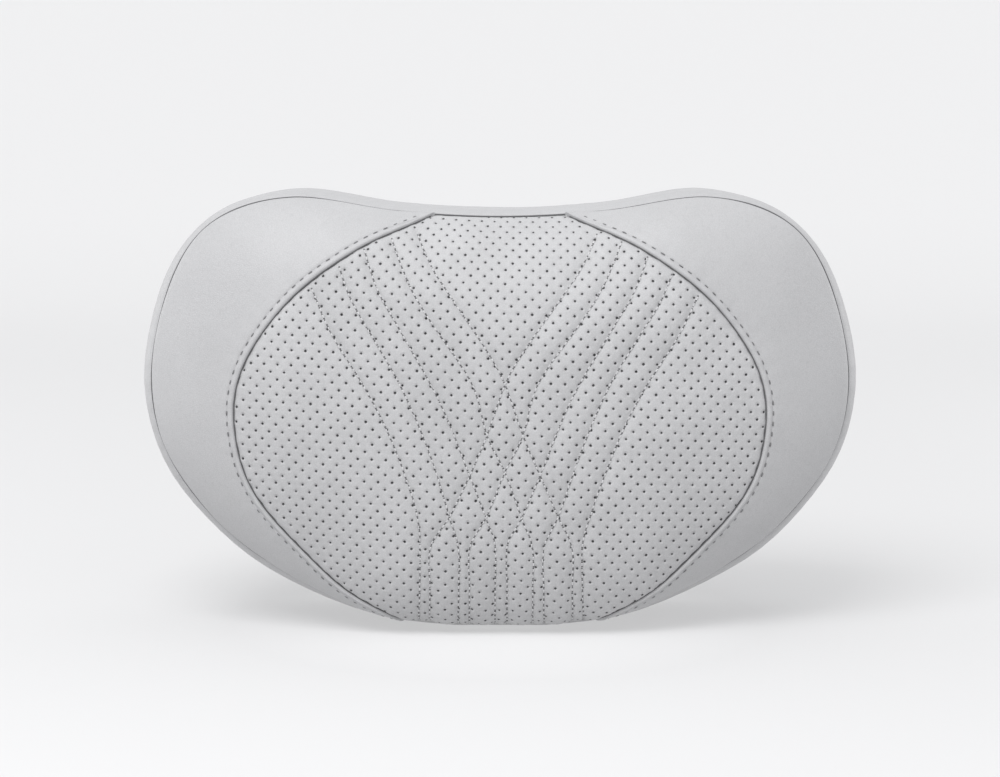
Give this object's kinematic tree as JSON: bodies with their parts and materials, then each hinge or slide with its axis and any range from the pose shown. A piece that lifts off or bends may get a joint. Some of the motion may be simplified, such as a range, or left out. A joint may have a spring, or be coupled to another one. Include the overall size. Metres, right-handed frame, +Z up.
{
  "type": "shiatsu neck massager",
  "caption": "Kidney-shaped leather massage pillow for the neck, with worm-driven rotating kneading heads, side power button and jack, rear zip and head-rest strap.",
  "frame": {"origin": "centre of the bounding box in X and Y, on the surface the pillow stands on", "axes": "+X to the viewer's right across the pillow's length, +Y from the front (kneading) face to the back, +Z up"},
  "size_m": [0.34, 0.115, 0.2095],
  "materials": {
    "leather": "satin",
    "rear_fabric": "matte",
    "elastic": "matte",
    "foam": "matte",
    "liner": "matte",
    "grey_plastic": "satin",
    "black_plastic": "satin",
    "nylon": "satin",
    "node_plastic": "gloss",
    "steel": "satin",
    "brass": "satin",
    "rubber": "matte",
    "board_green": "satin",
    "light": "gloss"
  },
  "bodies": {
    "pillow": {"front_center_panel": "leather", "left_side_panel": "leather", "right_side_panel": "leather", "side_gusset": "leather", "rear_panel": "rear_fabric", "headrest_strap": "elastic", "zip_track": "black_plastic", "front_pad": "foam", "inner_liner": "liner", "foam_surround": "foam", "rear_pad": "foam", "front_housing": "grey_plastic", "rear_housing": "grey_plastic", "worm_bearing_block": "nylon", "motor_can": "steel", "motor_end_cap": "black_plastic", "motor_ring_lower": "rubber", "motor_ring_upper": "rubber", "motor_magnet_left": "black_plastic", "motor_magnet_right": "black_plastic", "control_bezel": "black_plastic", "button_light_ring": "light", "dc_jack": "black_plastic", "tact_switch": "black_plastic", "control_board": "board_green", "control_box": "grey_plastic", "motor_lead": "rubber", "housing_screw_1": "steel", "housing_screw_2": "steel", "housing_screw_3": "steel", "housing_screw_4": "steel", "housing_screw_5": "steel", "housing_screw_6": "steel", "left_shaft_bush": "brass", "right_shaft_bush": "brass"},
    "worm_rotor": {"armature": "brass", "motor_shaft": "steel", "worm": "brass"},
    "button": {"power_button": "grey_plastic"},
    "slider": {"zip_slider": "steel"},
    "pull": {"zip_pull": "steel"},
    "left_head": {"left_worm_wheel": "nylon", "left_output_shaft": "steel", "left_carrier": "grey_plastic", "left_carrier_screw": "steel", "left_node_1_pin": "steel", "left_node_2_pin": "steel"},
    "left_kneading_node_1": {"left_node_1": "node_plastic"},
    "left_kneading_node_2": {"left_node_2": "node_plastic"},
    "right_head": {"right_worm_wheel": "nylon", "right_output_shaft": "steel", "right_carrier": "grey_plastic", "right_carrier_screw": "steel", "right_node_1_pin": "steel", "right_node_2_pin": "steel"},
    "right_kneading_node_1": {"right_node_1": "node_plastic"},
    "right_kneading_node_2": {"right_node_2": "node_plastic"}
  },
  "joints": [
    {"name": "left_head_spin", "type": "hinge", "parent": "pillow", "child": "left_head", "pos_m": [-0.05, 0.016, 0.115], "axis": [0, 1, 0], "continuous": true},
    {"name": "right_head_spin", "type": "hinge", "parent": "pillow", "child": "right_head", "pos_m": [0.05, 0.016, 0.115], "axis": [0, 1, 0], "continuous": true},
    {"name": "worm_spin", "type": "hinge", "parent": "pillow", "child": "worm_rotor", "pos_m": [0, 0.016, 0.115], "axis": [0, 0, 1], "continuous": true},
    {"name": "left_node_1_spin", "type": "hinge", "parent": "left_head", "child": "left_kneading_node_1", "pos_m": [-0.0287, -0.031, 0.12991], "axis": [0, 1, 0], "continuous": true},
    {"name": "left_node_2_spin", "type": "hinge", "parent": "left_head", "child": "left_kneading_node_2", "pos_m": [-0.0713, -0.031, 0.10009], "axis": [0, 1, 0], "continuous": true},
    {"name": "right_node_1_spin", "type": "hinge", "parent": "right_head", "child": "right_kneading_node_1", "pos_m": [0.0287, -0.031, 0.12991], "axis": [0, 1, 0], "continuous": true},
    {"name": "right_node_2_spin", "type": "hinge", "parent": "right_head", "child": "right_kneading_node_2", "pos_m": [0.0713, -0.031, 0.10009], "axis": [0, 1, 0], "continuous": true},
    {"name": "power_button_press", "type": "slide", "parent": "pillow", "child": "button", "axis": [-1, 0, 0], "range_m": [0, 0.0012], "stiffness_N_per_m": 800},
    {"name": "zip_slide", "type": "slide", "parent": "pillow", "child": "slider", "axis": [1, 0, 0], "range_m": [0, 0.185]},
    {"name": "zip_pull_swing", "type": "hinge", "parent": "slider", "child": "pull", "pos_m": [-0.0925, 0.0567, 0.048], "axis": [1, 0, 0], "range_deg": [0, 175]}
  ],
  "couplings": [
    {"joint": "right_head_spin", "follows": "left_head_spin", "ratio": -1},
    {"joint": "worm_spin", "follows": "left_head_spin", "ratio": 58}
  ]
}
